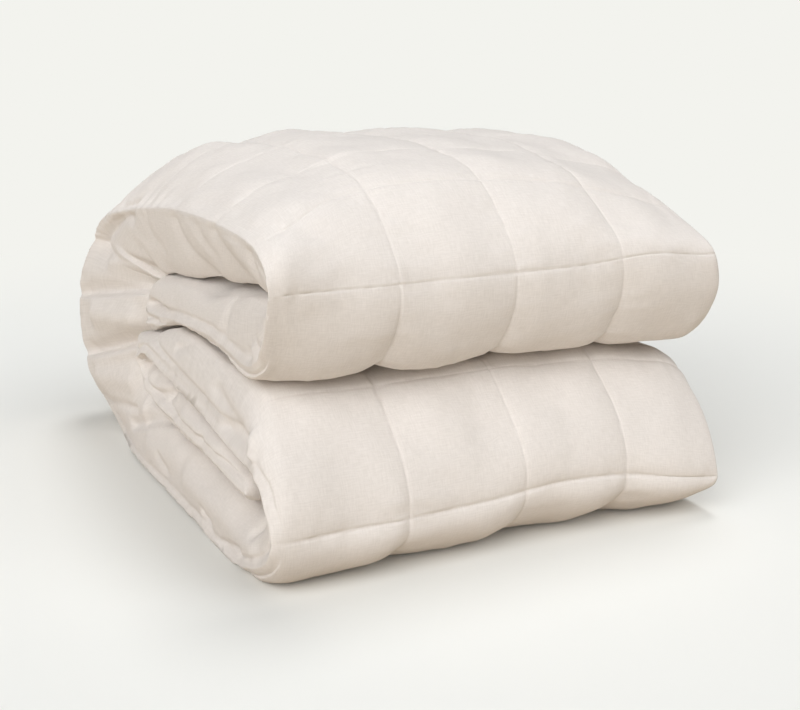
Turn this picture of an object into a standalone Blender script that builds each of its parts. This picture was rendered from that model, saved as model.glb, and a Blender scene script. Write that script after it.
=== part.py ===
"""A quilted weighted blanket, folded to four quilting squares wide and closed like a book.

The cloth is one thick quilted strip. Seen from its hem side it runs forward, over the upper
front fold, back along the top, down round the back, forward along the floor, over the lower
front fold, back again, and ends tucked inside the lower fold. Every stitched row crosses the
whole width, so the strip is worked out row by row: a table gives where each stitched row lies
on the strip's outer and inner cloth, in quilting squares, and smooth curves join the rows.

Frame: +X to the right along the front folds, +Y to the back, +Z up, in metres.
The origin is at the middle of the base, on the surface that the blanket lies on.
"""
import bpy
import numpy as np

# Driving dimensions, in metres
SQUARE = 0.09525            # one quilting square across the width (3 3/4 in)
SQUARES_ACROSS = 4
WIDTH = SQUARES_ACROSS * SQUARE

# How far the stitching draws the cloth in, in quilting squares
ROW_DEPTH = 0.030           # along the rows, which the folds pull nearly flat
SEAM_WIDTH = 0.13           # reach of a seam's trough to each side
RIM_PINCH = 0.008           # how far each row draws the side in, as a share of the width
INNER_SHARE = 0.6           # the inner cloth is drawn in less than the outer

# Cross-section of the strip: a flattened round, |across|^squareness + |up|^RIM_FULLNESS = 1,
# whose inner cloth keeps its thickness further out, because the outer cloth is drawn tight
OUTER_SQUARENESS = 6.0
INNER_SQUARENESS = 12.0
RIM_FULLNESS = 2.4
END_LENGTH = 0.35           # the strip's two ends round off over this part of a square
END_BLUNTNESS = 2.5
SIDE_SWELL = 0.35           # a swollen square swells this share more at the sides

# How the pile lies, in quilting squares unless a share is named
LEFT_FALL = 0.33            # share of the height above LEFT_FALL_FROM that the left side loses
LEFT_FALL_FROM = 1.5
RIGHT_FALL = 0.33           # the right shoulder falls this far at the front
UPPER_END_OUT = 0.08        # the upper front fold's right end stands out
WRAP_FLARE = 0.15           # the wrap round the back stands out to the left
LOWER_FLARE = 0.10          # so does the lower fold
LOWER_DROP = 0.18           # the lower fold's right end sinks,
LOWER_FORWARD = 0.10        # slides forward
LOWER_DRAWN_IN = 0.12       # and draws in

# Mesh steps
STEPS_PER_ROW = 5
STEPS_PER_SQUARE = 4
STEPS_PER_RIM = 5

# One line for each stitched row, from the strip's upper end to the end tucked in below.
#   outer y, z  where the row lies on the outer cloth, and inner y, z on the inner cloth,
#               in squares from the front line of the upper fold and from the floor
#   left, right height of the side seam there: 1 at the outer cloth, -1 at the inner cloth
#   puff        how far the square after the row swells out, in squares
#   dip         depth of the lengthways seams there, in squares
COLUMNS = ("outer_y", "outer_z", "inner_y", "inner_z", "left", "right", "puff", "dip")
ROWS = (
    (3.08, 1.54, 3.08, 2.02, 0.6, 0.2, 0.00, 0.04),     # upper end
    (2.18, 1.48, 2.18, 2.21, 0.8, 0.2, 0.00, 0.05),
    (1.24, 1.45, 1.26, 2.24, 0.8, 0.3, 0.04, 0.06),
    (0.29, 1.46, 0.86, 2.18, 0.8, 0.7, 0.03, 0.07),
    (-0.04, 2.17, 0.80, 2.26, 0.9, 0.8, 0.02, 0.05),    # upper front fold
    (0.52, 2.83, 0.86, 2.36, 0.7, 0.6, 0.00, 0.06),
    (1.20, 3.03, 1.32, 2.37, 0.4, 0.5, 0.00, 0.06),
    (2.08, 3.08, 2.08, 2.36, 0.35, 0.5, 0.00, 0.06),
    (2.96, 3.07, 2.72, 2.32, 0.35, 0.5, 0.00, 0.06),
    (3.82, 2.93, 3.10, 2.22, 0.35, 0.4, 0.00, 0.06),
    (4.56, 2.54, 3.25, 2.04, 0.5, 0.4, 0.00, 0.06),     # round the back
    (5.04, 1.88, 3.31, 1.82, 0.7, 0.4, 0.00, 0.06),
    (5.16, 1.14, 3.38, 1.56, 0.8, 0.4, 0.06, 0.06),
    (5.06, 0.48, 3.50, 1.28, 0.85, 0.4, 0.14, 0.06),
    (4.28, -0.03, 3.46, 0.80, 0.9, 0.9, 0.00, 0.05),    # along the floor
    (3.36, -0.04, 3.04, 0.49, 0.9, 0.9, 0.00, 0.05),
    (2.42, -0.04, 2.36, 0.46, 0.9, 0.9, 0.00, 0.05),
    (1.48, -0.04, 1.48, 0.45, 0.9, 0.9, 0.00, 0.07),
    (0.54, -0.04, 0.68, 0.44, 0.9, 0.9, 0.13, 0.11),
    (-0.25, 0.46, 0.38, 0.56, 0.9, 0.9, 0.02, 0.07),    # lower front fold
    (0.22, 1.24, 0.56, 0.86, -0.5, 0.3, 0.00, 0.06),
    (1.12, 1.34, 1.16, 0.93, -0.9, 0.2, 0.00, 0.06),
    (2.00, 1.38, 2.00, 0.96, -0.9, 0.2, 0.00, 0.05),
    (2.88, 1.34, 2.72, 0.98, -0.9, 0.2, 0.00, 0.05),
    (3.36, 1.00, 2.92, 0.93, -0.3, 0.0, 0.00, 0.05),    # tight fold inside the wrap
    (2.88, 0.56, 2.72, 0.87, 0.6, 0.0, 0.00, 0.04),
    (2.08, 0.52, 2.00, 0.86, 0.6, 0.0, 0.00, 0.04),
    (1.24, 0.51, 1.24, 0.82, 0.6, 0.0, 0.00, 0.04),
    (0.52, 0.54, 0.52, 0.76, 0.6, 0.0, 0.00, 0.04),     # lower end
)
LAST_ROW = len(ROWS) - 1


def ramp(value, start, end):
    """Smooth step: 0 before start, 1 after end, with level ends (3t^2 - 2t^3)."""
    t = np.clip((value - start) / (end - start), 0.0, 1.0)
    return t * t * (3.0 - 2.0 * t)


def row_positions():
    """Places along the strip, counted in rows; steps crowd at its two rounded ends."""
    end = 1.0 - np.cos(np.linspace(0.0, 1.0, STEPS_PER_ROW + 1) * np.pi / 2)
    middle = np.linspace(1.0, LAST_ROW - 1.0, (LAST_ROW - 2) * STEPS_PER_ROW + 1)
    return np.concatenate([end[:-1], middle, LAST_ROW - end[::-1][1:]])


def width_positions():
    """Places across the strip, -1 at the left side and 1 at the right; steps crowd there."""
    inner = np.linspace(-0.5, 0.5, 2 * STEPS_PER_SQUARE + 1)
    rim = 0.5 + 0.5 * np.sin(np.linspace(0.0, 1.0, STEPS_PER_RIM + 1)[1:] * np.pi / 2)
    return np.concatenate([-rim[::-1], inner, rim])


def smooth_rows(row):
    """Catmull-Rom curve through the table's rows; the end tangents mirror the last step."""
    table = np.array(ROWS)
    before, after = 2 * table[:1] - table[1:2], 2 * table[-1:] - table[-2:-1]
    padded = np.concatenate([before, table, after])
    first = np.clip(np.floor(row).astype(int), 0, LAST_ROW - 1)
    t = (row - first)[:, None]
    a, b, c, d = (padded[first + step] for step in range(4))
    return b + 0.5 * t * ((c - a) + t * ((2 * a - 5 * b + 4 * c - d) + t * (3 * (b - c) + d - a)))


def strip_faces(row, across):
    """Points of the outer and the inner cloth, in squares.

    Half-way between the two cloths runs the strip's middle line. Each cloth stands off from it
    by the half thickness times the cross-section's height, which falls to nothing at the sides
    and at the two ends, less the trough of the nearest seam.
    """
    place = dict(zip(COLUMNS, smooth_rows(row).T[:, :, None]))
    outer = np.hstack([place["outer_y"], place["outer_z"]])
    inner = np.hstack([place["inner_y"], place["inner_z"]])
    puff = np.array(ROWS)[np.floor(row).astype(int), COLUMNS.index("puff")]
    swell = (puff * np.sin(np.pi * (row % 1.0)))[:, None]
    thick = np.linalg.norm(outer - inner, axis=1)[:, None]
    out = (outer - inner) / thick

    v = across[None, :]
    to_end = np.clip(np.minimum(row, LAST_ROW - row) / END_LENGTH, 0.0, 1.0)[:, None]
    end = (1.0 - (1.0 - to_end) ** END_BLUNTNESS) ** (1.0 / RIM_FULLNESS)

    to_row = np.abs(row - np.round(row))[:, None]
    to_row = np.where((row < 0.5) | (row > LAST_ROW - 0.5), 1.0, to_row.T).T
    to_column = np.where(np.abs(v) > 0.75, 1.0, np.abs(2 * v - np.round(2 * v)))
    row_trough = np.exp(-to_row / SEAM_WIDTH)
    column_trough = np.exp(-to_column / SEAM_WIDTH)
    trough = ROW_DEPTH * row_trough + place["dip"] * column_trough * (1.0 - 0.4 * row_trough)

    half = thick / 2
    middle = (outer + inner) / 2
    x = 0.5 * SQUARES_ACROSS * v * (1.0 - RIM_PINCH * row_trough * np.abs(v) ** 6)
    faces = []
    for side, share, squareness in ((1, 1.0, OUTER_SQUARENESS), (-1, INNER_SHARE, INNER_SQUARENESS)):
        height = end * (1.0 - np.abs(v) ** squareness) ** (1.0 / RIM_FULLNESS)
        puffed = half + (swell * (1.0 + SIDE_SWELL * v * v) if side > 0 else 0.0)
        lift = side * (puffed - share * trough) * height
        lift = lift + half * np.where(v < 0, place["left"], place["right"]) * (1.0 - height)
        yz = middle[:, None, :] + out[:, None, :] * lift[..., None]
        faces.append(np.dstack([x + 0.0 * lift, yz]))
    return faces


def settle(points):
    """How the pile lies: heights and widths that the weight and the folding changed.

    Each term is a size times shares that grow to one side, and smooth steps that keep it to
    its part of the pile.
    """
    x, y, z = points[..., 0], points[..., 1], points[..., 2]
    half = SQUARES_ACROSS / 2
    to_left = np.clip(-x / half, 0.0, 1.0)
    to_right = np.clip((x / half - 0.1) / 0.9, 0.0, 1.0) ** 1.3
    in_lower_fold = 1.0 - ramp(z, 1.1, 1.7)

    left_part = np.clip((to_left - 0.3) / 0.7, 0.0, 1.0) ** 1.8
    left_part = left_part * ramp(y, -0.2, 0.9) * (1.0 - 0.4 * ramp(y, 3.8, 4.8))
    z = z - LEFT_FALL * np.clip(z - LEFT_FALL_FROM, 0.0, None) * left_part
    z = z - RIGHT_FALL * ramp(z, 2.0, 2.9) * to_right * (1.0 - 0.85 * ramp(y, 0.7, 2.2))
    fold_end = ramp(z, 1.3, 1.6) * (1.0 - ramp(z, 1.8, 2.3)) * (1.0 - ramp(y, 0.6, 1.4))
    x = x + UPPER_END_OUT * fold_end * to_right

    x = x - WRAP_FLARE * ramp(y, 3.2, 5.0) * np.exp(-((z - 1.1) / 0.9) ** 2) * to_left ** 3
    x = x - LOWER_FLARE * in_lower_fold * (1.0 - ramp(y, 3.4, 4.8)) * to_left ** 2

    sag = to_right * in_lower_fold * (1.0 - ramp(y, 0.4, 2.0))
    x = x - LOWER_DRAWN_IN * sag * (1.0 - 0.7 * ramp(z, 0.5, 1.1))
    z = z - LOWER_DROP * sag * ramp(z, 0.0, 0.6)
    y = y - LOWER_FORWARD * sag
    return np.dstack([x, y, np.maximum(z, 0.0)])


def grid_quads(index, flip):
    """Four-sided faces of a grid of point numbers, wound one way or the other."""
    corners = [index[:-1, :-1], index[:-1, 1:], index[1:, 1:], index[1:, :-1]]
    return np.stack(corners[::-1] if flip else corners, axis=-1).reshape(-1, 4)


def blanket_mesh():
    """Outer and inner cloth as two grids that share their border, so the strip is closed."""
    outer, inner = (settle(face) for face in strip_faces(row_positions(), width_positions()))
    rows, columns = outer.shape[:2]
    outer_index = np.arange(rows * columns).reshape(rows, columns)
    inner_index = outer_index.copy()
    inner_index[1:-1, 1:-1] = rows * columns + np.arange((rows - 2) * (columns - 2)).reshape(
        rows - 2, columns - 2)
    points = np.concatenate([outer.reshape(-1, 3), inner[1:-1, 1:-1].reshape(-1, 3)]) * SQUARE
    middle = (points.min(axis=0) + points.max(axis=0)) / 2
    points[:, :2] -= middle[:2]
    quads = np.concatenate([grid_quads(outer_index, False), grid_quads(inner_index, True)])
    mesh = bpy.data.meshes.new("blanket")
    mesh.from_pydata(points.tolist(), [], quads.tolist())
    mesh.validate()
    mesh.shade_smooth()
    return mesh


def cotton():
    """Undyed matt cotton."""
    material = bpy.data.materials.new("cotton")
    material.use_nodes = True
    surface = material.node_tree.nodes["Principled BSDF"]
    surface.inputs["Base Color"].default_value = (0.80, 0.76, 0.70, 1.0)
    surface.inputs["Roughness"].default_value = 0.95
    surface.inputs["Metallic"].default_value = 0.0
    return material


for existing in list(bpy.data.objects):
    bpy.data.objects.remove(existing)

blanket = bpy.data.objects.new("blanket", blanket_mesh())
blanket.data.materials.append(cotton())
bpy.context.scene.collection.objects.link(blanket)
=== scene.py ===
# %% [markdown]
# # A weighted blanket, folded into a pile
#
# The real blanket is two panels of plain cotton cloth, sewn together along the hem and quilted
# in squares that keep its heavy beads in place. Here it lies folded: one thick quilted strip
# that curls in at both ends, so from its hem side it looks like a letter C.
#
# The fixed frame comes first. It gives the size and place that every surface has to keep.

# %% Load the fixed frame
import bpy
import numpy as np
from mathutils import Euler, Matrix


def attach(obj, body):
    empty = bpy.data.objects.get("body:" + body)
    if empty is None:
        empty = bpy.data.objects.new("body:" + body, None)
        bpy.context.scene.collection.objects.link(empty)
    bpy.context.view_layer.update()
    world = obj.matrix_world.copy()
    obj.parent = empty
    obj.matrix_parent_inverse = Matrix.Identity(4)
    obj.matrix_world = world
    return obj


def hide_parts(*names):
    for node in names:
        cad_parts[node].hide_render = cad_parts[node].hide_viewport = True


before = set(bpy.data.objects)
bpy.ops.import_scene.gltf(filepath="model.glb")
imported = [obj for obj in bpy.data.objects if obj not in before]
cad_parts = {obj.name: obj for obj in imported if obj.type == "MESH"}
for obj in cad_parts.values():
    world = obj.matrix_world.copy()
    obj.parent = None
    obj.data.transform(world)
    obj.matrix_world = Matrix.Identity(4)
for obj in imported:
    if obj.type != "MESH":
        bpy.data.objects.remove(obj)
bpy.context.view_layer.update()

# %% [markdown]
# ## The camera
#
# The view looks slightly down on the pile from its front left, so both front folds and the
# hem side show. A camera could be set by eye until the picture looks right. Here it stands
# where the stitched rows and columns of the blanket line up with those in the photograph,
# because that fixes its place, its turn and its lens together.

# %% Place the camera
CAMERA_PLACE = (-0.4579, -0.9268, 0.3572)      # metres, in the frame's axes
CAMERA_DOWN, CAMERA_TURN = 14.359, 27.908      # degrees
LENS, SENSOR_WIDTH = 52.54, 36.0               # mm

camera_data = bpy.data.cameras.new("camera")
camera_data.lens, camera_data.sensor_width = LENS, SENSOR_WIDTH
camera_data.clip_start, camera_data.clip_end = 0.05, 50.0
camera = bpy.data.objects.new("camera", camera_data)
camera.location = CAMERA_PLACE
camera.rotation_euler = Euler(np.radians([90.0 - CAMERA_DOWN, 0.0, -CAMERA_TURN]).tolist())
bpy.context.scene.collection.objects.link(camera)
bpy.context.scene.camera = camera
print("camera at", CAMERA_PLACE, "lens", LENS, "mm")

# %% [markdown]
# ## The path of the strip
#
# A folded pile could be modelled by stacking slabs, but cloth that folds is one piece, and the
# eye reads that at once from the folds. So the blanket is worked out along its own length, row
# of stitches by row of stitches. A short table says where each row lies on the outer cloth and
# on the inner cloth, seen from the hem side, and a smooth curve joins the rows.

# %% The table of stitched rows
SQUARE = 0.09525                    # one quilting square across the width, metres
SQUARES_ACROSS = 4
SHIFT = np.array([-0.0031, 0.2334, 0.0])       # metres: puts the middle of the base at the origin

# places in squares from the lower front; the right seam's share of the way to the outer
# cloth; how far a square swells; how deep the lengthways seams are drawn in
COLUMNS = ("outer_y", "outer_z", "inner_y", "inner_z", "right", "puff", "dip")
ROWS = np.array((
    (3.08, 1.54, 3.08, 2.02, 0.2, 0.00, 0.04),      # 0 upper end
    (2.18, 1.48, 2.18, 2.21, 0.2, 0.00, 0.05),
    (1.24, 1.49, 1.26, 2.24, 0.3, 0.00, 0.06),
    (0.18, 1.46, 0.84, 2.18, 0.7, 0.00, 0.09),
    (-0.04, 2.17, 0.80, 2.26, 0.8, 0.02, 0.012),    # 4 upper front fold
    (0.52, 2.83, 0.86, 2.36, 0.6, 0.00, 0.022),
    (1.20, 3.03, 1.32, 2.37, 0.5, 0.00, 0.035),
    (2.08, 3.08, 2.08, 2.36, 0.5, 0.00, 0.04),
    (2.96, 3.07, 2.72, 2.32, 0.5, 0.00, 0.045),
    (3.82, 2.93, 3.10, 2.22, 0.4, 0.00, 0.06),
    (4.56, 2.54, 3.25, 2.04, 0.4, 0.00, 0.06),      # 10 round the back
    (5.04, 1.88, 3.31, 1.82, 0.4, 0.00, 0.06),
    (5.16, 1.14, 3.38, 1.56, 0.4, 0.06, 0.06),
    (5.06, 0.48, 3.50, 1.28, 0.4, 0.14, 0.06),
    (4.28, -0.03, 3.46, 0.80, 0.9, 0.00, 0.05),     # 14 along the floor
    (3.36, -0.04, 3.04, 0.49, 0.9, 0.00, 0.05),
    (2.42, -0.04, 2.36, 0.46, 0.9, 0.00, 0.05),
    (1.48, -0.04, 1.48, 0.45, 0.9, 0.00, 0.07),
    (0.54, -0.04, 0.68, 0.44, 0.9, 0.13, 0.13),
    (-0.25, 0.46, 0.38, 0.56, 0.9, 0.02, 0.025),    # 19 lower front fold
    (0.34, 1.34, 0.56, 0.86, 0.3, 0.00, 0.022),
    (1.20, 1.38, 1.16, 0.93, 0.2, 0.00, 0.06),
    (2.00, 1.38, 2.00, 0.96, 0.2, 0.00, 0.05),
    (2.88, 1.34, 2.72, 0.98, 0.2, 0.00, 0.05),
    (3.36, 1.00, 2.92, 0.93, 0.0, 0.00, 0.05),      # 24 tight fold inside the wrap
    (2.88, 0.56, 2.72, 0.87, 0.0, 0.00, 0.04),
    (2.08, 0.52, 2.00, 0.86, 0.0, 0.00, 0.04),
    (1.24, 0.51, 1.24, 0.82, 0.0, 0.00, 0.04),
    (0.52, 0.54, 0.52, 0.76, 0.0, 0.00, 0.04),      # 28 lower end
))
LAST_ROW = len(ROWS) - 1


def ramp(value, start, end):
    """Smooth step: 0 before start, 1 after end, with level ends (3t^2 - 2t^3)."""
    t = np.clip((value - start) / (end - start), 0.0, 1.0)
    return t * t * (3.0 - 2.0 * t)


def smooth_rows(table, names, row):
    """Catmull-Rom curve through a table: each stretch between two rows is a cubic whose slope
    at a row is half the step from the row before to the row after."""
    padded = np.concatenate([2 * table[:1] - table[1:2], table, 2 * table[-1:] - table[-2:-1]])
    first = np.clip(np.floor(row).astype(int), 0, LAST_ROW - 1)
    t = (row - first)[:, None]
    a, b, c, d = (padded[first + step] for step in range(4))
    curve = b + 0.5 * t * ((c - a) + t * ((2 * a - 5 * b + 4 * c - d) + t * (3 * (b - c) + d - a)))
    return dict(zip(names, curve.T[:, :, None]))


print("stitched rows:", len(ROWS), " strip length about",
      round(float(np.linalg.norm(np.diff(ROWS[:, 0:2], axis=0), axis=1).sum() * SQUARE), 2), "m")

# %% [markdown]
# ## Where the points go
#
# Sewing makes detail of a millimetre or two right beside plain cloth that needs only a few
# points. An even grid, or a Subdivision Surface modifier, would put as many points on the plain
# cloth as on the stitches. So the grid's lines crowd towards every seam and towards the two
# sides. The grid is made finer than the finished mesh; later a Decimate modifier keeps its
# points where the cloth bends and drops them where it is flat.

# %% Grid lines that crowd at the seams
LINE_STEP = 5.0         # widest step between lines, mm
AT_THREAD, BESIDE_THREAD, HALF_WAY = (0.0, 0.9, 2.1), 4.0, 47.0     # mm from a seam
END_LINES, RIM_DEPTH = 15, 0.12                # lines of an end; share of half the width
ROUND_STEPS, SIDE_LINES = ((42, 18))
RIGHT_STEPS = 24
beside_seam = np.arange(BESIDE_THREAD, HALF_WAY, LINE_STEP)
NEAR_SEAM = np.concatenate([AT_THREAD, beside_seam]) / 1000 / SQUARE


def crowd(first, last, near):
    """Lines at every whole number from first to last, each with the offsets near it."""
    seams = np.arange(first, last + 1)[:, None]
    lines = np.concatenate([seams - near, seams + near, seams + 0.5], axis=None)
    return np.unique(np.round(lines[(lines >= first) & (lines <= last)], 5))


def round_lines(depth, steps):
    """Places by a cosine, from the hem to depth inwards, so that a quarter round between them
    is cut into steps of even length."""
    return depth * (1.0 - np.cos(np.linspace(0.0, np.pi / 2, steps + 1)))


ends = 1.0 - np.cos(np.linspace(0.0, 1.0, END_LINES) * np.pi / 2)
row_lines = np.concatenate([
    ends[:-1], crowd(1, LAST_ROW - 1, NEAR_SEAM), LAST_ROW - ends[::-1][1:]])
middle_lines = crowd(-1, 1, NEAR_SEAM) / 2
left_round = -1.0 + round_lines(RIM_DEPTH, ROUND_STEPS)
left_rim = np.concatenate([left_round, np.linspace(RIM_DEPTH - 1.0, -0.5, SIDE_LINES)[1:-1]])
right_rim = 1.0 - round_lines(0.5, RIGHT_STEPS)[-2::-1]
seam_side = 0.5 + NEAR_SEAM[1:3] / 2
across_lines = np.unique(np.round(np.concatenate([
    left_rim, -seam_side, middle_lines, seam_side, right_rim]), 6))
print("grid:", len(row_lines), "lines along the strip,", len(across_lines), "across")

# %% [markdown]
# ## The hem side
#
# At the hem side the layers are pressed together, so from the front no gap shows between them:
# each side panel bulges until it meets its neighbour, and only a thin dark crease parts them.
# One path for the whole width can't do that and keep the middle of the pile as it is. So a
# second table says where the two cloths and the hem lie at that side, and the difference from
# the plain strip is blended in over the last part of the width.

# %% The table of the hem side
# places in squares; the hem's share of the way from inner (-1) to outer cloth (1); the
# width of the side's round as a share of half the width; the power of that round
EDGE_COLUMNS = ("outer_y", "outer_z", "inner_y", "inner_z", "hem", "roll", "bulge")
LEFT_EDGE = np.array((
    (3.07, 1.27, 3.02, 1.75, 0.00, 0.05, 2.8),      # 0 upper end
    (2.18, 1.53, 2.12, 1.84, 0.66, 0.05, 2.5),
    (1.24, 1.55, 1.26, 1.905, 0.48, 0.06, 2.4),
    (0.30, 1.50, 0.50, 2.04, 0.68, 0.06, 2.4),
    (-0.04, 2.17, 0.12, 2.06, 0.90, 0.08, 1.6),     # 4 upper front fold
    (0.22, 2.49, 0.53, 2.065, 0.90, 0.09, 1.45),
    (1.06, 2.565, 1.35, 1.985, 0.92, 0.09, 1.45),
    (2.02, 2.56, 2.10, 1.88, 0.92, 0.09, 1.45),
    (2.94, 2.47, 2.72, 1.815, 0.92, 0.09, 1.45),
    (3.74, 2.36, 2.93, 1.79, 0.90, 0.09, 1.6),
    (4.46, 2.22, 3.02, 1.76, 0.90, 0.09, 1.9),      # 10 round the back
    (4.93, 1.91, 3.07, 1.72, 0.90, 0.09, 2.2),
    (5.16, 1.26, 3.13, 1.60, 0.90, 0.10, 2.2),
    (5.02, 0.62, 3.36, 1.13, 0.90, 0.12, 2.2),
    (4.20, 0.0, 3.25, 0.72, 0.90, 0.12, 2.2),       # 14 along the floor
    (3.36, 0.0, 2.45, 0.615, 0.90, 0.12, 2.2),
    (2.42, 0.0, 2.15, 0.56, 0.90, 0.12, 2.2),
    (1.48, 0.0, 1.30, 0.535, 0.90, 0.12, 2.2),
    (0.54, 0.0, 0.45, 0.48, 0.90, 0.10, 2.2),
    (-0.25, 0.46, 0.10, 0.60, 0.80, 0.08, 2.0),     # 19 lower front fold
    (0.30, 1.36, 0.22, 0.80, -0.60, 0.09, 2.2),
    (1.16, 1.47, 1.16, 1.01, -0.95, 0.065, 2.4),
    (2.00, 1.52, 2.00, 1.09, -0.95, 0.06, 2.5),
    (2.75, 1.36, 2.78, 1.15, -0.90, 0.06, 2.5),
    (3.30, 1.20, 2.95, 1.04, -0.50, 0.07, 2.4),     # 24 tight fold inside the wrap
    (2.95, 0.74, 2.80, 1.10, 0.30, 0.10, 2.2),
    (2.10, 0.60, 2.00, 1.055, 0.30, 0.10, 2.2),
    (1.24, 0.595, 1.24, 0.98, 0.30, 0.10, 2.2),
    (0.28, 0.54, 0.30, 0.78, 0.00, 0.10, 2.2),      # 28 lower end
))
lowered = (ROWS[:, 1] - LEFT_EDGE[:, 1])[5:10].mean()
print("at the hem side the top layer's cloth lies", round(float(lowered * SQUARE * 1000)),
      "mm lower than in the plain strip")

# %% [markdown]
# ## The cross-section
#
# A filled quilt is a flattened round: full in the middle, drawn to nothing at the hem where
# the two panels meet. A Solidify modifier would make a slab with upright sides, so the round is
# worked out instead. Each cloth stands off from the strip's middle line by half the thickness
# times that round's height. The side seam isn't half-way up: where a fold pulls the outer
# cloth tight, the seam rides up towards it, so the table says how far, row by row.

# %% The round of the cross-section
OUTER_SQUARENESS, INNER_SQUARENESS, RIM_FULLNESS = 6.0, 12.0, 2.4
END_LENGTH, END_BLUNTNESS, HEM_END = 0.35, 2.5, 0.5
CROWN_ROWS = (6.5, 9.0, 11.2, 12.4)            # rows where the crown beside the hem comes and goes


def cloth_frame(row, across):
    """Everything that is the same for both cloths at each grid point, in squares. half is half
    the distance between the cloths. end is the round of the strip's two ends:
    (1 - (1 - share of the end's length) ^ bluntness) ^ (1 / fullness). swell is the row's puff
    times a half wave between its two seams."""
    place = smooth_rows(ROWS, COLUMNS, row)
    outer = np.hstack([place["outer_y"], place["outer_z"]])
    inner = np.hstack([place["inner_y"], place["inner_z"]])
    end_length = END_LENGTH * (1.0 - HEM_END * ramp(-across, 0.7, 1.0))
    to_end = np.clip(np.minimum(row, LAST_ROW - row)[:, None] / end_length, 0.0, 1.0)
    puff = ROWS[np.floor(row).astype(int), COLUMNS.index("puff")]
    crowned = ramp(row, *CROWN_ROWS[:2]) * (1.0 - ramp(row, *CROWN_ROWS[2:]))
    return dict(place, row=row[:, None] + 0.0 * across, across=across[None, :] + 0.0 * row[:, None],
                outer=outer, inner=inner, half=np.linalg.norm(outer - inner, axis=1)[:, None] / 2,
                edge=smooth_rows(LEFT_EDGE, EDGE_COLUMNS, row),
                end=(1.0 - (1.0 - to_end) ** END_BLUNTNESS) ** (1.0 / RIM_FULLNESS),
                swell=(puff * np.sin(np.pi * (row % 1.0)))[:, None], crowned=crowned[:, None])


def height_share(place, side):
    """Height of the cross-section's round: on the right |across|^squareness + height^fullness
    = 1, on the left a quarter round of the table's roll and bulge."""
    v = place["across"]
    squareness = OUTER_SQUARENESS if side > 0 else INNER_SQUARENESS
    right = (1.0 - np.abs(v) ** squareness) ** (1.0 / RIM_FULLNESS)
    bulge = place["edge"]["bulge"]
    short = 1.0 - np.clip((1.0 + v) / place["edge"]["roll"], 0.0, 1.0)
    left = (1.0 - short ** bulge) ** (1.0 / bulge)
    return place["end"] * np.where(v < 0, left, right)


place = cloth_frame(row_lines, across_lines)
print("thickness of the strip, mm:", round(float(place["half"].min() * 2 * SQUARE * 1000)), "to",
      round(float(place["half"].max() * 2 * SQUARE * 1000)))

# %% [markdown]
# ## How the pile has settled
#
# Pulled along its path, the strip would be as even as a machine part. The real pile has sunk
# under its own weight, and not evenly: its top falls away to the hem, its right shoulder drops,
# the wrap spreads near the floor, and the right end of the lower fold sags forward. Sculpting
# would do this by hand. Moving the points by smooth steps of their place does the same in a way
# that can be read and changed, and each move has one size.

# %% Settle the pile
TOP_FALL, TOP_LEVEL, SHOULDER_FALL = 0.33, 1.5, 0.33          # squares
FOLD_END_OUT, WRAP_FLARE, FLOOR_FLARE = 0.08, 0.14, 0.10
SAG_LEFT, SAG_DOWN, SAG_FORWARD = 0.12, 0.18, 0.10


def settle(points):
    """How weight changes the stack as a whole: the top falls to the hem, the right shoulder
    falls at the front, the wrap flares and the lower fold's right end sags forward. Each term
    is a size times shares that grow to one side, and smooth steps that keep it to its part."""
    x, y, z = points[..., 0], points[..., 1], points[..., 2]
    half = SQUARES_ACROSS / 2
    to_left = np.clip(-x / half, 0.0, 1.0)
    to_right = np.clip((x / half - 0.1) / 0.9, 0.0, 1.0) ** 1.3
    in_lower_fold = 1.0 - ramp(z, 1.1, 1.7)
    left_part = np.clip((to_left - 0.3) / 0.7, 0.0, 1.0) ** 1.8
    left_part = left_part * ramp(y, -0.2, 0.9) * (1.0 - 0.4 * ramp(y, 3.8, 4.8))
    z = z - TOP_FALL * np.clip(z - TOP_LEVEL, 0.0, None) * left_part
    z = z - SHOULDER_FALL * ramp(z, 2.0, 2.9) * to_right * (1.0 - 0.85 * ramp(y, 0.7, 2.2))
    fold_end = ramp(z, 1.3, 1.6) * (1.0 - ramp(z, 1.8, 2.3)) * (1.0 - ramp(y, 0.6, 1.4))
    x = x + FOLD_END_OUT * fold_end * to_right
    low_wrap = ramp(y, 3.2, 5.0) * ramp(z, 0.0, 0.45) * (1.0 - ramp(z, 1.2, 2.0))
    x = x - WRAP_FLARE * low_wrap * to_left ** 3
    x = x - FLOOR_FLARE * in_lower_fold * (1.0 - ramp(y, 3.2, 4.3)) * to_left ** 2
    sag = to_right * in_lower_fold * (1.0 - ramp(y, 0.4, 2.0))
    x = x - SAG_LEFT * sag * (1.0 - 0.7 * ramp(z, 0.5, 1.1))
    z = z - SAG_DOWN * sag * ramp(z, 0.0, 0.6)
    y = y - SAG_FORWARD * sag
    return np.stack([x, y, z], axis=-1)


corner = settle(np.array([[-SQUARES_ACROSS / 2, 2.0, 3.0]]))
print("the top falls to the hem by", round(float(3.0 - corner[0, 2]) * SQUARE * 1000), "mm")

# %% [markdown]
# ## The two cloths
#
# Now both cloths are laid on the path. The fold edges at the front aren't straight on the real
# blanket: a square that holds more beads bulges a little higher, and the notch between two
# squares leans to one side. These few rises and leans are bumps in a short table, since there
# are so few of them. Last, the hem side is drawn to the places that its own table gives.

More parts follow.
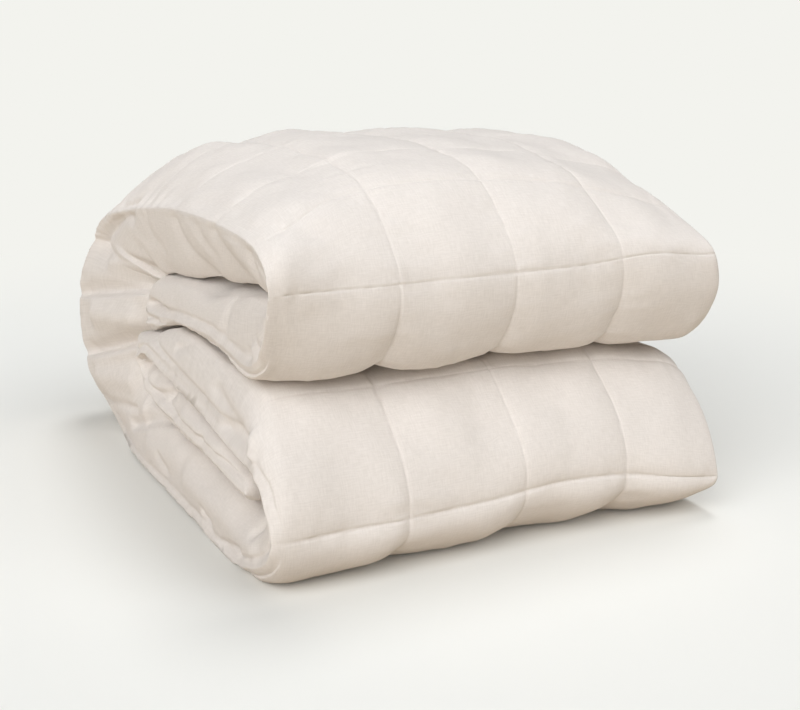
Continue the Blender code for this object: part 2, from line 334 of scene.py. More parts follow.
# %% Outer and inner cloth without detail
SIDE_SWELL, HEM_CROWN = 0.35, 0.10
FRONT_ROW_RISE = ((4, 1.3, 0.5, 0.06), (19, 0.7, 0.8, 0.07))     # row, middle, reach, rise
NOTCH_LEAN = ((18.2, 0.13), (3.1, 0.05))                          # row, lean to the left
RISE_ROWS, LEAN_ROWS = 0.5, 0.4                # how far along the strip a rise and a lean reach
HEM_BLEND = (0.55, 0.98)                       # shares of half the width


def plain_cloth(place, side):
    """Points of one cloth before sewing. Its share of the way from the middle line is
    side x height share, plus the side seam's own share where the round falls to nothing. The
    settled strip then moves to the hem side's own table by a smooth step of the width."""
    height, v, half = height_share(place, side), place["across"], place["half"]
    crown = HEM_CROWN * np.sin(np.pi * np.clip(-2.0 * v - 1.0, 0.0, 1.0)) * place["crowned"]
    fuller = (place["swell"] * (1.0 + SIDE_SWELL * v * v) + crown) / half
    stand = 1.0 + (fuller if side > 0 else 0.0)
    seam = np.where(v < 0, place["edge"]["hem"], place["right"])
    share = side * stand * height + seam * (1.0 - height)
    outer_part, inner_part = (1.0 + share[..., None]) / 2, (1.0 - share[..., None]) / 2
    yz = place["outer"][:, None] * outer_part + place["inner"][:, None] * inner_part
    points = settle(np.dstack([0.5 * SQUARES_ACROSS * v, yz]))
    moves = []
    x, row = points[..., 0], place["row"]
    for fold, middle, reach, rise in FRONT_ROW_RISE:
        near_row = np.exp(-((row - fold) / RISE_ROWS) ** 2)
        points[..., 2] += rise * np.exp(-((x - middle) / reach) ** 2) * near_row
    for fold, lean in NOTCH_LEAN:
        near_row = np.exp(-((row - fold) / LEAN_ROWS) ** 2)
        points[..., 0] -= lean * near_row * (1.0 - ramp(np.abs(v), 0.6, 0.95))
    for name in ("outer", "inner"):
        rail = settle(np.hstack([np.full_like(half, -SQUARES_ACROSS / 2), place[name]]))[:, 1:]
        target = np.hstack([place["edge"][name + "_y"], place["edge"][name + "_z"]])
        moves.append((target - rail)[:, None])
    move = moves[0] * outer_part + moves[1] * inner_part
    points[..., 1:] += ramp(-v, *HEM_BLEND)[..., None] * move
    return points


plain = {side: plain_cloth(place, side) for side in (1, -1)}
print("depth of the outer cloth, mm:", round(float(np.ptp(plain[1][..., 1])) * SQUARE * 1000))

# %% [markdown]
# ## The seams
#
# Stitching through two panels and the filling between them leaves a shallow valley, with the
# thread in a narrow nick at its bottom. The cloth beside it is a little too long for the
# thread, so it gathers into small puckers that die out within a finger's width. A bump texture
# could draw all this on smooth cloth, but its outline would stay smooth and the mesh would hold
# no stitching. Here all three are plain functions of the distance to the nearest seam, and they
# move the points.

# %% Distances to the seams, and uneven waves
UNDER_FOLD_SHIFT = 0.17                        # squares
NO_SEAM = 1.0                                  # a distance at which no seam is felt


def seam_distances(place):
    """Distance to the nearest stitched row and to the nearest lengthways seam, in squares. The
    row under the upper fold is sewn a little nearer the front than its place in the table."""
    row, v = place["row"], place["across"]
    row = row - UNDER_FOLD_SHIFT * np.exp(-((row - 3.0 - UNDER_FOLD_SHIFT) / 0.35) ** 2)
    to_row = np.abs(row - np.round(row))
    to_row = np.where((row < 0.5) | (row > LAST_ROW - 0.5), NO_SEAM, to_row)
    to_column = np.where(np.abs(v) > 0.75, NO_SEAM, np.abs(2 * v - np.round(2 * v)))
    return to_row, to_column


def waves(position, lane, length, seed, count=5):
    """Uneven waves along a line: a few sines of nearly the same length with seeded phases,
    different in each lane."""
    rng = np.random.default_rng(seed)
    total = np.zeros(np.broadcast(position, lane).shape)
    for _ in range(count):
        cycles = 1.0 / (length * rng.uniform(0.7, 1.5))
        turns = position * cycles + lane * rng.uniform(3.0, 9.0)
        total += np.sin(2 * np.pi * turns + rng.uniform(0, 6.28))
    return total / np.sqrt(count)


to_row, to_column = seam_distances(place)
near_seam = np.minimum(to_row, to_column) * SQUARE < 0.005
print("points within 5 mm of a seam:", int(near_seam.sum()))

# %% Valleys, thread nicks and puckers
ROW_DEPTH, ROW_REACH = 0.007, 0.10             # squares
COLUMN_REACH, INNER_SHARE = 0.16, 0.6
NICK_DEPTH, NICK_REACH = 0.005, 0.011
PUCKER, PUCKER_REACH, PUCKER_START, PUCKER_LENGTH = 0.006, 0.14, 0.03, 0.17
WRAP_ROW, WRAP_REACH = 12.0, 1.6               # the wrap's seams run right to the hem
TOP_ROW, TOP_REACH, TOP_CALM = 7.5, 1.9, 0.35  # the top's are drawn less tight


def sewn_depth(place, side):
    """Depth of the sewn valleys, nicks and puckers below the filled shape, in squares: a valley
    is depth x exp(-distance / reach), a nick depth x exp(-(distance / reach)^2), and a pucker
    is a wave along the seam that fades within its reach and is nothing at the thread."""
    to_row, to_column = seam_distances(place)
    share = 1.0 if side > 0 else INNER_SHARE
    row_valley, column_valley = np.exp(-to_row / ROW_REACH), np.exp(-to_column / COLUMN_REACH)
    off_rim = ramp(1.0 - np.abs(place["across"]), 0.0, 0.02)
    in_wrap = np.exp(-((place["row"] - WRAP_ROW) / WRAP_REACH) ** 4)
    near_hem = ramp(-place["across"], 0.88, 0.97)
    shown = np.where(place["across"] < 0, 1.0 - (1.0 - in_wrap) * near_hem, 1.0)
    shown = shown * (1.0 - TOP_CALM * np.exp(-((place["row"] - TOP_ROW) / TOP_REACH) ** 4))
    column_valley = place["dip"] * column_valley * (1.0 - 0.4 * row_valley)
    depth = share * (ROW_DEPTH * row_valley * shown + column_valley)
    depth += NICK_DEPTH * shown * off_rim * np.exp(-(to_row / NICK_REACH) ** 2)
    depth += NICK_DEPTH * np.exp(-(to_column / NICK_REACH) ** 2)
    across_squares = place["across"] * SQUARES_ACROSS / 2
    for distance, along, lane in ((to_row, across_squares, np.round(place["row"])),
                                  (to_column, place["row"], np.round(across_squares) + 40.0)):
        near = np.exp(-distance / PUCKER_REACH) * (1.0 - np.exp(-distance / PUCKER_START))
        depth += PUCKER * near * waves(along, lane, PUCKER_LENGTH, 1 + side)
    return depth


depths = {side: sewn_depth(place, side) for side in (1, -1)}
print("deepest seam, mm:", round(float(depths[1].max() * SQUARE * 1000), 1))

# %% [markdown]
# ## Uneven filling
#
# Beads wander inside their square, so each one is a little fuller on one side, and the cloth
# over it has shallow hollows. A noise texture as a Displace modifier would push the points
# along their normals. Here the same is done with waves in space, because they are seeded and
# the push can fade out towards the hem and the ends, where both cloths meet.

# %% Uneven filling, and both cloths sewn
FILL_RELIEF, FILL_LENGTHS = 0.009, (0.5, 1.0)                    # squares
CLOTH_RELIEF, CLOTH_LENGTHS = 0.0022, (0.16, 0.34)
FILL_SEED, CLOTH_SEED = 3, 4
CALM_END, CALM_LEFT, CALM_RIGHT = 0.2, 0.05, 0.03                # no relief where the cloths meet
OFF_FLOOR = 0.003                                                # squares


def skin_normals(outer, inner):
    """Outward direction at each point of both cloths: the cross product of the steps along the
    strip and round its cross-section, taken as one closed loop."""
    loop = np.concatenate([outer, inner[:, -2:0:-1]], axis=1)
    along = np.gradient(loop, axis=0)
    around = np.roll(loop, -1, axis=1) - np.roll(loop, 1, axis=1)
    normal = np.cross(around, along)
    normal /= np.linalg.norm(normal, axis=-1, keepdims=True) + 1e-12
    columns = outer.shape[1]
    back = np.concatenate([normal[:, columns - 1:], normal[:, :1]], axis=1)[:, ::-1]
    return {1: normal[:, :columns], -1: back}


def unevenness(points, shortest, longest, seed, count=24):
    """Smooth uneven relief: the sum of many waves in space with seeded directions, lengths
    between shortest and longest, and starts, divided by the root of half their number."""
    rng = np.random.default_rng(seed)
    direction = rng.normal(size=(count, 3))
    wave_length = np.linalg.norm(direction, axis=1) * rng.uniform(shortest, longest, count)
    direction *= 2 * np.pi / wave_length[:, None]
    starts = rng.uniform(0, 2 * np.pi, count)
    relief = sum(np.sin(points @ way + start) for way, start in zip(direction, starts))
    return relief / np.sqrt(count / 2)


normals = skin_normals(plain[1], plain[-1])
calm_ends = ramp(np.minimum(place["row"], LAST_ROW - place["row"]), 0.0, CALM_END)
calm_rims = (ramp(1.0 + place["across"], 0.0, CALM_LEFT)
             * ramp(1.0 - place["across"], 0.0, CALM_RIGHT))
cloths = {}
for side in (1, -1):
    depth = depths[side] + FILL_RELIEF * unevenness(plain[side], *FILL_LENGTHS, FILL_SEED)
    depth = depth + CLOTH_RELIEF * unevenness(plain[side], *CLOTH_LENGTHS, CLOTH_SEED)
    depth = depth * calm_ends * calm_rims
    cloths[side] = plain[side] - normals[side] * depth[..., None]
    cloths[side][..., 2] = np.maximum(cloths[side][..., 2], OFF_FLOOR)
print("height of the pile, mm:", round(float(cloths[1][..., 2].max() * SQUARE * 1000)))

# %% [markdown]
# ## The creases of the hem side
#
# All the cloth that a fold has too much of ends up at the hem side as creases, and these are
# what make the pile look soft. A cloth simulation makes creases of its own, but not the ones of
# this pile. They have no rule, so they are drawn: a table gives each crease its rows, its depth,
# its width on either side, and its line in the plane of the side. A negative depth is a pillow.

# %% The drawn creases
# first row, last row, depth, width above, width below (mm), line of (y, z) in squares
HEM_CREASES = (
    # wrinkles of the top layer's side, from the seam down to the right
    (4.4, 9.9, -0.9, 6, 7, ((3.51, 2.25), (3.30, 2.13), (2.96, 2.04))),
    (4.4, 9.9, 0.9, 5, 6, ((2.99, 2.38), (2.86, 2.22), (2.58, 2.12))),
    (4.4, 9.9, 2.4, 4, 11, ((2.09, 2.49), (1.93, 2.33), (1.68, 2.20), (1.40, 2.10))),
    (4.4, 9.9, -0.8, 5, 6, ((1.75, 2.51), (1.59, 2.37), (1.34, 2.26))),
    (4.4, 9.9, 1.0, 4, 8, ((1.52, 2.53), (1.40, 2.38), (1.17, 2.27))),
    (4.4, 9.9, 1.7, 4, 10, ((1.08, 2.51), (0.96, 2.40), (0.75, 2.28), (0.51, 2.17))),
    (4.4, 9.9, -1.2, 7, 7, ((0.78, 2.48), (0.62, 2.38), (0.39, 2.27))),
    (3.9, 6, 2.0, 4, 7, ((0.34, 2.41), (0.27, 2.30), (0.17, 2.14))),
    # the corner where the top layer's side meets the wrap, and the crease below it
    (7.5, 11.6, 8, 4.5, 8, ((4.59, 1.96), (4.10, 2.16), (3.69, 2.33), (3.36, 2.40))),
    (7.5, 11.6, 3, 6, 6, ((3.62, 2.34), (3.43, 2.27))),
    (8.5, 11.9, 8, 6, 14, ((4.98, 1.93), (4.56, 1.88), (3.91, 1.83), (2.93, 1.86))),
    # pillows and radial creases of the wrap
    (10.0, 12.3, -8, 10, 9, ((4.19, 1.79), (3.39, 1.87), (2.82, 1.89))),
    (10.6, 13.1, 8.5, 12, 2.6, ((5.18, 1.28), (4.24, 1.45), (3.45, 1.61), (2.70, 1.72))),
    (11.2, 13.4, 6, 6, 7, ((3.22, 1.58), (2.99, 1.58))),
    (11.6, 13.5, -7, 13, 13, ((4.51, 1.19), (3.63, 1.30))),
    (12.2, 14.1, 10, 9, 3.4, ((5.18, 0.62), (4.39, 0.84), (3.76, 1.03), (3.23, 1.21))),
    (12.6, 14.2, -2.5, 5, 4, ((4.73, 0.66), (3.99, 0.86), (3.40, 1.05))),
    (12.6, 14.9, -5, 12, 12, ((4.50, 0.55), (3.65, 0.69))),
    (13.2, 14.6, 3.5, 3, 4, ((4.49, 0.27), (3.95, 0.37), (3.49, 0.44))),
    (13.2, 15, -3.5, 5, 5, ((3.21, 0.76), (3.22, 0.57), (3.22, 0.39))),
    (13.2, 16.2, 11, 5.5, 10, ((2.95, 0.84), (2.62, 0.74), (2.20, 0.68))),
    (13.8, 15.8, 6, 9, 2.6, ((3.57, 0.24), (2.84, 0.48), (2.35, 0.59), (1.91, 0.65))),
    (13.6, 17.0, -3, 12, 12, ((2.88, 0.26), (2.07, 0.39))),
    (12.8, 15.4, 6, 9, 8, ((3.22, 1.06), (3.05, 0.86))),
    # the bottom layer's side
    (14.9, 18.4, -5, 14, 13, ((1.75, 0.31), (0.80, 0.32))),
    (16.4, 17.8, 4.5, 3, 3, ((1.31, 0.18), (1.24, 0.12), (1.15, 0.13))),
    (17.2, 18.6, 4, 3, 3, ((0.87, 0.06), (0.64, 0.12), (0.46, 0.14))),
    (16.8, 19.2, -3, 10, 10, ((0.59, 0.27), (0.25, 0.27))),
    (17.8, 19.2, 4, 3, 5, ((0.02, 0.62), (0.06, 0.51), (0.26, 0.34))),
    (15, 16.3, 2, 4, 5, ((2.56, 0.26), (2.22, 0.17))),
    # pleats of the layer drawn into the fold
    (23.6, 26.6, 9, 3.5, 5, ((3.46, 1.18), (3.28, 1.05), (3.10, 0.95), (2.95, 0.88))),
    (23.6, 27, 8, 3.5, 7, ((3.10, 0.96), (2.78, 1.08), (2.45, 1.22))),
    (23.6, 26.8, 7, 3.5, 5, ((3.35, 1.20), (3.12, 1.18), (2.91, 1.26))),
    (24.2, 27.6, 5, 3.5, 6, ((2.88, 0.74), (2.54, 0.85), (2.11, 0.94))),
    (24.2, 27.6, 5, 3.5, 6, ((2.23, 0.93), (2.22, 0.83), (2.02, 0.79))),
    (24.6, 27.6, 2.6, 5, 5, ((2.67, 0.98), (2.21, 1.03), (1.76, 1.13))),
    (25.2, 28, -3.5, 8, 8, ((1.74, 0.87), (0.91, 0.83))),
    (25.5, 28, 1.5, 5, 5, ((1.32, 0.76), (1.08, 0.93))),
    # the lower loaf's top layer and the curled edge of its front fold
    (20, 24.3, 3.0, 2.2, 2.6, ((2.79, 1.37), (2.40, 1.29), (1.87, 1.23), (1.36, 1.18),
                               (0.85, 1.11), (0.48, 1.11))),
    (21.5, 24.2, 2.6, 3, 5, ((1.96, 1.39), (1.42, 1.53), (0.94, 1.59))),
    (19.3, 22, 6.5, 5, 4, ((0.75, 1.04), (0.49, 1.06), (0.28, 1.06))),
    (19.8, 22.5, 3.5, 6, 6, ((0.96, 1.27), (0.66, 1.18), (0.41, 1.12))),
    (19, 20.4, -4, 3, 3, ((0.19, 1.15), (0.15, 1.01), (0.04, 0.88))),
    # the upper end: folded corner, hem and tucks
    (-0.5, 1.4, 10, 3.5, 5, ((3.11, 1.58), (2.89, 1.59))),
    (-0.5, 2.0, 7.5, 3.5, 6, ((2.82, 1.60), (2.52, 1.59), (2.20, 1.59))),
    (1.4, 3.3, 3.5, 2.5, 3, ((0.98, 1.66), (0.90, 1.60), (0.64, 1.59), (0.42, 1.58))),
    (1.6, 3.5, 2.8, 2, 2, ((0.66, 1.63), (0.37, 1.68))),
    (1.6, 3.8, -5, 2.2, 2.5, ((0.28, 1.74), (0.23, 1.66))),
    (0.2, 1.6, 1.8, 4.5, 4.5, ((2.25, 1.84), (2.22, 1.65))),
    (1.2, 3, 2.4, 4.5, 6, ((0.91, 1.99), (0.92, 1.75))),
    (-0.5, 1, -5, 3, 3, ((2.99, 1.52), (2.84, 1.51))),
    (-0.5, 1, 5, 2.2, 2.2, ((3.14, 1.44), (2.75, 1.49))),
    (-0.5, 1, -5, 3, 3, ((3.05, 1.40), (2.86, 1.42))),
    (-0.5, 1.2, -3, 4, 4, ((2.70, 1.43), (2.25, 1.52))),
    (-0.5, 1, 3, 2, 2, ((2.75, 1.48), (2.61, 1.43))),
)
CREASE_FADE = 0.4                              # rows over which a crease comes and goes


def from_hem(points, columns):
    """Length along the cloth from the hem to each point, in mm: the steps between neighbours
    in a row, summed from the rim inwards."""
    steps = np.linalg.norm(np.diff(points[:, columns], axis=1), axis=-1)
    start = np.zeros((len(points), 1))
    return np.concatenate([start, np.cumsum(steps, axis=1)], axis=1) * SQUARE * 1000


def crease_depth(row, points, crease):
    """Depth of one crease, in mm: depth x exp(-(distance / width)^2), where the distance is to
    its line in the plane of the side and the width turns smoothly from one side's to the
    other's."""
    first, last, depth, above, below, line = crease
    line = np.array(line)
    nearest, width = np.full(row.shape, 1e9), np.ones(row.shape)
    for start, step in zip(line[:-1], np.diff(line, axis=0)):
        y, z = points[..., 1] - start[0], points[..., 2] - start[1]
        share = np.clip((y * step[0] + z * step[1]) / (step @ step), 0.0, 1.0)
        y, z = y - share * step[0], z - share * step[1]
        distance = np.hypot(y, z) + 1e-9
        turn = (step[0] * z - step[1] * y) / (np.linalg.norm(step) * distance)
        closer = distance < nearest
        width = np.where(closer, 0.5 * (above + below) - 0.5 * (above - below) * turn, width)
        nearest = np.where(closer, distance, nearest)
    here = ramp(row, first, first + CREASE_FADE) * (1.0 - ramp(row, last - CREASE_FADE, last))
    return here * depth * np.exp(-(nearest * SQUARE * 1000 / width) ** 2)


left_part = np.flatnonzero(across_lines < -0.6)
row_part = place["row"][:, left_part]
from_edge = {side: from_hem(plain[side], left_part) for side in (1, -1)}
print("drawn creases:", len(HEM_CREASES), " cloth they may reach, mm from the hem:",
      round(float(from_edge[1][:, -1].max())))

# %% [markdown]
# ## The hem
#
# A hem is a folded edge with a line of stitches about six millimetres in, so the edge stands
# up like a thin welt beside a groove. Where the rows of quilting reach it, they pinch it, and
# its stitches gather the cloth in short waves. A separate band of cloth could be laid along
# the edge, but a hem is part of its cloth, so it is one more push on the same points: groove,
# lip, pinch and gathers are each a bell curve of the length from the hem.

# %% Push in the hem and the creases
HEM_STITCH, HEM_GROOVE, GROOVE_WIDTH = 6.5, 1.7, 1.5          # mm
HEM_LIP, LIP_WIDTH, HEM_PINCH, PINCH_REACH = 1.8, 2.5, 0.9, 12.0
HEM_GATHER, GATHER_WIDTH, TOP_GATHER, TOP_GATHER_PEAK = 0.35, 9.0, 0.9, 8.0
FLAT_HEM_ROW, FLAT_HEM_REACH = 7.6, 3.3        # the top layer's hem lies flatter
TOP_GATHER_ROW, TOP_GATHER_REACH = 8.3, 1.2
HEM_GATHER_LENGTH, HEM_GATHER_SEED, TOP_GATHER_LENGTH, TOP_GATHER_SEED = 0.26, 7, 0.24, 11


def bell(distance, width, power=2):
    """Bell curve: exp(-(distance / width)^power)."""
    return np.exp(-(distance / width) ** power)


to_row_part = seam_distances(place)[0][:, left_part]
in_top = bell(row_part - FLAT_HEM_ROW, FLAT_HEM_REACH, 6)
deepest = 0.0
for side in (1, -1):
    inwards = np.clip(-1.6 * normals[side][:, left_part, 0], 0.0, 1.0)
    length = from_edge[side]
    push = HEM_PINCH * bell(to_row_part, 0.10) * np.exp(-length / PINCH_REACH)
    push += HEM_GROOVE * (1.0 - 0.85 * in_top) * bell(length - HEM_STITCH, GROOVE_WIDTH)
    push -= HEM_LIP * (1.0 - in_top) * bell(length, LIP_WIDTH)
    gathers = waves(row_part, 3.0, HEM_GATHER_LENGTH, HEM_GATHER_SEED)
    push += HEM_GATHER * gathers * bell(length - HEM_STITCH, GATHER_WIDTH)
    off_hem = 0.25 + 0.75 * ramp(length, 1.0, 10.0)
    for crease in HEM_CREASES:
        push += off_hem * crease_depth(row_part, plain[side][:, left_part], crease)
    cloths[side][:, left_part, 0] += push * inwards * calm_ends[:, left_part] / 1000 / SQUARE
    deepest = max(deepest, float((push * inwards).max()))
    on_top = bell(row_part - TOP_GATHER_ROW, TOP_GATHER_REACH, 4) if side > 0 else 0.0
    gather = TOP_GATHER * waves(row_part, 5.0, TOP_GATHER_LENGTH, TOP_GATHER_SEED) * on_top
    gather = gather * (length / TOP_GATHER_PEAK) ** 2 * np.exp(2.0 - 2.0 * length / TOP_GATHER_PEAK)
    cloths[side][:, left_part] -= normals[side][:, left_part] * (gather / 1000 / SQUARE)[..., None]
cloths[-1][:, 0], cloths[-1][:, -1] = cloths[1][:, 0], cloths[1][:, -1]
print("deepest push at the hem side, mm:", round(deepest, 1))

# %% [markdown]
# ## The mesh
#
# The two cloths are two grids that share their border, which is the hem all the way round. Two
# separate sheets would leave an open slit there. Joined, the blanket is one closed skin, and
# its map carries lengths along and across the cloth in metres, for the weave to follow.

# %% Make the blanket's mesh
INNER_MAP_SHIFT = 3.0                          # metres: keeps the inner cloth's threads its own


def quads(index, flip):
    """Four-sided faces of a grid of point numbers, wound one way or the other."""
    corners = [index[:-1, :-1], index[:-1, 1:], index[1:, 1:], index[1:, :-1]]
    return np.stack(corners[::-1] if flip else corners, axis=-1).reshape(-1, 4)


def lengths(points):
    """Lengths in metres along the strip at its middle column, and across it at a middle row."""
    columns = points.shape[1]
    along = np.linalg.norm(np.diff(points[:, columns // 2], axis=0), axis=1)
    across = np.linalg.norm(np.diff(points[points.shape[0] // 4], axis=0), axis=1)
    along, across = (np.concatenate([[0.0], np.cumsum(step)]) for step in (along, across))
    return np.stack(np.meshgrid(across - across[-1] / 2, along), axis=-1) * SQUARE


def blanket_object(outer, inner):
    """One closed mesh of both cloths, with the cloth's own lengths as its map."""
    rows, columns = outer.shape[:2]
    outer_index = np.arange(rows * columns).reshape(rows, columns)
    inner_index = outer_index.copy()
    inside = np.arange((rows - 2) * (columns - 2)).reshape(rows - 2, columns - 2)
    inner_index[1:-1, 1:-1] = rows * columns + inside
    points = np.concatenate([outer.reshape(-1, 3), inner[1:-1, 1:-1].reshape(-1, 3)])
    faces = np.concatenate([quads(outer_index, False), quads(inner_index, True)])
    map_faces = [quads(outer_index, False), quads(outer_index, True) + rows * columns]
    map_faces = np.concatenate(map_faces)
    cloth_map = [lengths(outer).reshape(-1, 2), lengths(inner).reshape(-1, 2) + INNER_MAP_SHIFT]
    cloth_map = np.concatenate(cloth_map)
    mesh = bpy.data.meshes.new("blanket_cloth")
    mesh.from_pydata((points * SQUARE - SHIFT).tolist(), [], faces.tolist())
    uv = mesh.uv_layers.new(name="cloth")
    uv.data.foreach_set("uv", cloth_map[map_faces.reshape(-1)].reshape(-1))
    mesh.shade_smooth()
    piece = bpy.data.objects.new("blanket_cloth", mesh)
    bpy.context.scene.collection.objects.link(piece)
    return piece


blanket = blanket_object(cloths[1], cloths[-1])
print("squares of the fine grid:", len(blanket.data.polygons))

# %% [markdown]
# ## Fewer triangles
#
# The grid is finer than the eye needs on the plain parts of the cloth. A wider grid would blur
# the stitches too. Decimate takes points out only where the cloth is nearly flat, so creases
# and thread keep theirs. The result then takes the grid's place, and the blanket hangs from the
# root body in place of the frame's solid, which is hidden.

# %% Thin the mesh and attach it
MOST_TRIANGLES = 198000

thin = blanket.modifiers.new("thin", "DECIMATE")
thin.ratio = MOST_TRIANGLES / (2 * len(blanket.data.polygons))
thinned = blanket.evaluated_get(bpy.context.evaluated_depsgraph_get())
fine_grid, finished = blanket.data, bpy.data.meshes.new_from_object(thinned)
blanket.modifiers.clear()
blanket.data = finished
bpy.data.meshes.remove(fine_grid)
finished.shade_smooth()
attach(blanket, "root")
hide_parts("blanket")
print("blanket triangles:", sum(len(face.vertices) - 2 for face in blanket.data.polygons))

# %% [markdown]
# ## Cotton
#
# Undyed cotton is a warm off-white, quite matt, with slubs: threads that are a little thicker
# here and there, so the cloth is faintly streaked both ways. Wave textures would draw every
# thread alike. Noise that is stretched along one thread direction, and again along the other,
# gives threads of uneven thickness. The pattern follows the cloth's own lengths, so it bends
# round the folds with the cloth.

# %% The cotton material
THREADS = ((1000.0, 120.0, 1.0), (120.0, 1000.0, 1.0))        # noise turns a metre, each way
THIN_THREAD, THICK_THREAD = (0.700, 0.643, 0.588), (0.780, 0.722, 0.668)
THREAD_CONTRAST = (0.35, 0.65)                 # part of the noise that the two colours span
THREAD_HEIGHT = 0.0004                         # metres


def cotton_material():
    """Colour and bump from the mean of two noises, each stretched along one thread direction."""
    material = bpy.data.materials.new("undyed_cotton")
    material.use_nodes = True
    nodes, links = material.node_tree.nodes, material.node_tree.links
    surface = nodes["Principled BSDF"]
    surface.inputs["Roughness"].default_value = 0.92
    surface.inputs["Specular IOR Level"].default_value = 0.15
    surface.inputs["Sheen Weight"].default_value = 0.12
    surface.inputs["Sheen Roughness"].default_value = 0.5
    lengths_map = nodes.new("ShaderNodeUVMap")
    lengths_map.uv_map = "cloth"
    streaks = []
    for scale in THREADS:
        stretch = nodes.new("ShaderNodeMapping")
        stretch.inputs["Scale"].default_value = scale
        links.new(lengths_map.outputs["UV"], stretch.inputs["Vector"])
        noise = nodes.new("ShaderNodeTexNoise")
        noise.inputs["Scale"].default_value = 1.0
        noise.inputs["Detail"].default_value = 3.0
        links.new(stretch.outputs["Vector"], noise.inputs["Vector"])
        streaks.append(noise)
    both = nodes.new("ShaderNodeMath")
    both.operation = "ADD"
    links.new(streaks[0].outputs["Fac"], both.inputs[0])
    links.new(streaks[1].outputs["Fac"], both.inputs[1])
    colour = nodes.new("ShaderNodeValToRGB")
    for stop, position, tone in zip(colour.color_ramp.elements, THREAD_CONTRAST,
                                    (THIN_THREAD, THICK_THREAD)):
        stop.position, stop.color = position, (*tone, 1.0)
    half = nodes.new("ShaderNodeMath")
    half.operation = "MULTIPLY"
    half.inputs[1].default_value = 0.5
    links.new(both.outputs[0], half.inputs[0])
    links.new(half.outputs[0], colour.inputs["Fac"])
    links.new(colour.outputs["Color"], surface.inputs["Base Color"])
    bump = nodes.new("ShaderNodeBump")
    bump.inputs["Strength"].default_value = 0.25
    bump.inputs["Distance"].default_value = THREAD_HEIGHT
    links.new(half.outputs[0], bump.inputs["Height"])
    links.new(bump.outputs["Normal"], surface.inputs["Normal"])
    return material


blanket.data.materials.append(cotton_material())
print("material:", blanket.data.materials[0].name)

# %% [markdown]
# ## The floor
#
# The pile stands on a sweep of pale paper that shows no edge and no horizon. A real sweep
# curves up behind the object; a curved floor would do, but its bend would catch the light. So
# the floor is flat, and about a metre away it turns into the colour of the backdrop. Pale paper
# would also light the pile strongly from below, more than the photograph shows, so the light
# it throws back is that of a darker paper.

# %% The pale floor
BACKDROP = (0.896, 0.896, 0.855)
FLOOR_SEEN, FLOOR_BOUNCED = (0.830, 0.820, 0.772), (0.57, 0.49, 0.38)
FADE_FROM, FADE_TO, FLOOR_REACH = 0.45, 1.3, 30.0             # metres


def pale_floor(seen, bounced):
    """A plain matt floor that the camera sees in one colour, while the light it throws back on
    the blanket is that of a darker one. A metre away it passes smoothly into the backdrop."""
    material = bpy.data.materials.new("pale_floor")
    material.use_nodes = True
    nodes, links = material.node_tree.nodes, material.node_tree.links
    matt, backdrop = nodes.new("ShaderNodeBsdfDiffuse"), nodes.new("ShaderNodeEmission")
    backdrop.inputs["Color"].default_value = (*BACKDROP, 1.0)
    path, colour = nodes.new("ShaderNodeLightPath"), nodes.new("ShaderNodeMix")
    colour.data_type = "RGBA"
    colour.inputs["A"].default_value = (*bounced, 1.0)
    colour.inputs["B"].default_value = (*seen, 1.0)
    links.new(path.outputs["Is Camera Ray"], colour.inputs["Factor"])
    links.new(colour.outputs["Result"], matt.inputs["Color"])
    place, distance = nodes.new("ShaderNodeTexCoord"), nodes.new("ShaderNodeVectorMath")
    distance.operation = "LENGTH"
    links.new(place.outputs["Object"], distance.inputs[0])
    far = nodes.new("ShaderNodeMapRange")
    far.interpolation_type = "SMOOTHSTEP"
    far.inputs["From Min"].default_value = FADE_FROM
    far.inputs["From Max"].default_value = FADE_TO
    links.new(distance.outputs["Value"], far.inputs["Value"])
    seen_far, mix = nodes.new("ShaderNodeMath"), nodes.new("ShaderNodeMixShader")
    seen_far.operation = "MULTIPLY"
    links.new(far.outputs["Result"], seen_far.inputs[0])
    links.new(path.outputs["Is Camera Ray"], seen_far.inputs[1])
    links.new(seen_far.outputs["Value"], mix.inputs["Fac"])
    links.new(matt.outputs["BSDF"], mix.inputs[1])
    links.new(backdrop.outputs["Emission"], mix.inputs[2])
    links.new(mix.outputs["Shader"], nodes["Material Output"].inputs["Surface"])
    return material


floor_mesh = bpy.data.meshes.new("floor")
floor_mesh.from_pydata([(x * FLOOR_REACH, y * FLOOR_REACH, 0.0) for x, y in
                        ((-1, -1), (1, -1), (1, 1), (-1, 1))], [], [(0, 1, 2, 3)])
floor_mesh.materials.append(pale_floor(FLOOR_SEEN, FLOOR_BOUNCED))
floor = bpy.data.objects.new("floor", floor_mesh)
bpy.context.scene.collection.objects.link(floor)
print("floor", 2 * FLOOR_REACH, "m wide, fading from", FADE_FROM, "to", FADE_TO, "m")

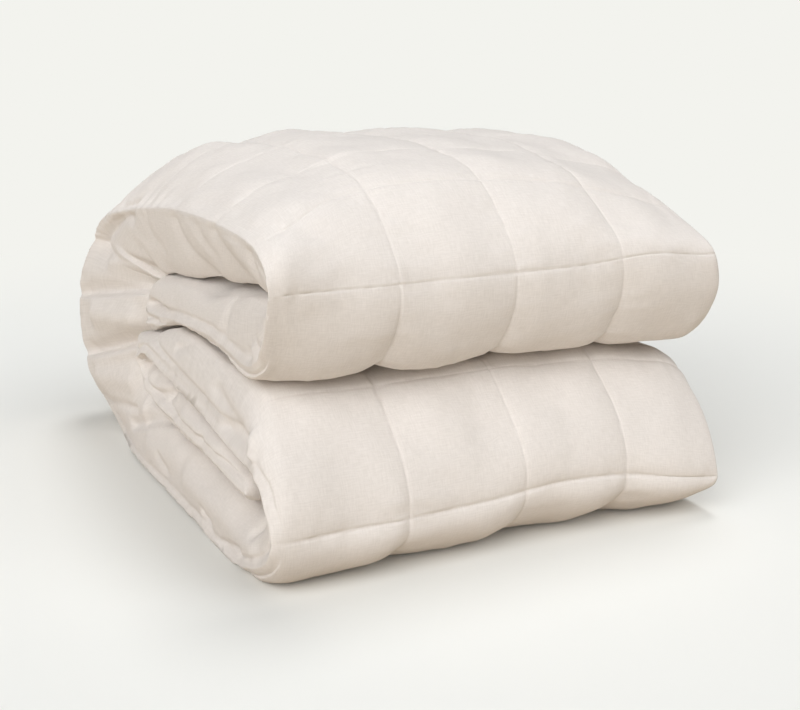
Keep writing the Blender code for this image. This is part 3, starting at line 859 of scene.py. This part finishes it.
# %% [markdown]
# ## The light
#
# A studio has large soft lamps round the object. Area lights near the pile would do, but their
# light falls off across it. Here five wide distant lights stand in for them: one high behind
# the pile throws the short shadow to the left, and the others fill the front and the hem side.
# A little light from all round opens the deepest folds.

# %% Lights and view
LIGHT_COLOUR, ALL_ROUND = (0.98, 1.0, 1.03), 0.03
LAMPS = (
    # name, strength, direction it comes from, width in degrees
    ("front_light", 0.82, (0.4, -0.5, 0.76), 50.0),
    ("low_front_light", 0.44, (0.35, -0.8, 0.42), 50.0),
    ("back_light", 0.98, (0.25, 0.3, 0.92), 22.0),
    ("side_light", 1.60, (-0.65, -0.45, 0.6), 60.0),
    ("low_side_light", 1.32, (-0.8, -0.5, 0.35), 80.0),
)


def distant_light(name, strength, from_direction, angle):
    """A distant light, tilted and turned so that it shines from its direction towards the
    pile; a wide angle makes its shadows soft."""
    light = bpy.data.lights.new(name, "SUN")
    light.energy, light.angle, light.color = strength, np.radians(angle), LIGHT_COLOUR
    lamp = bpy.data.objects.new(name, light)
    x, y, z = from_direction
    lamp.rotation_euler = Euler((np.arctan2(np.hypot(x, y), z), 0.0, np.arctan2(x, -y)))
    bpy.context.scene.collection.objects.link(lamp)
    return lamp


def studio_world(strength, backdrop):
    """An even light from all round; the camera sees the plain backdrop instead of it."""
    world = bpy.data.worlds.new("studio")
    world.use_nodes = True
    nodes, links = world.node_tree.nodes, world.node_tree.links
    around, seen = nodes["Background"], nodes.new("ShaderNodeBackground")
    around.inputs["Color"].default_value = (*LIGHT_COLOUR, 1.0)
    around.inputs["Strength"].default_value = strength
    seen.inputs["Color"].default_value = (*backdrop, 1.0)
    path, choose = nodes.new("ShaderNodeLightPath"), nodes.new("ShaderNodeMixShader")
    links.new(path.outputs["Is Camera Ray"], choose.inputs["Fac"])
    links.new(around.outputs["Background"], choose.inputs[1])
    links.new(seen.outputs["Background"], choose.inputs[2])
    links.new(choose.outputs["Shader"], nodes["World Output"].inputs["Surface"])
    return world


for lamp in LAMPS:
    distant_light(*lamp)
bpy.context.scene.world = studio_world(ALL_ROUND, BACKDROP)
bpy.context.scene.view_settings.view_transform = "Standard"
print("lights:", [lamp[0] for lamp in LAMPS])
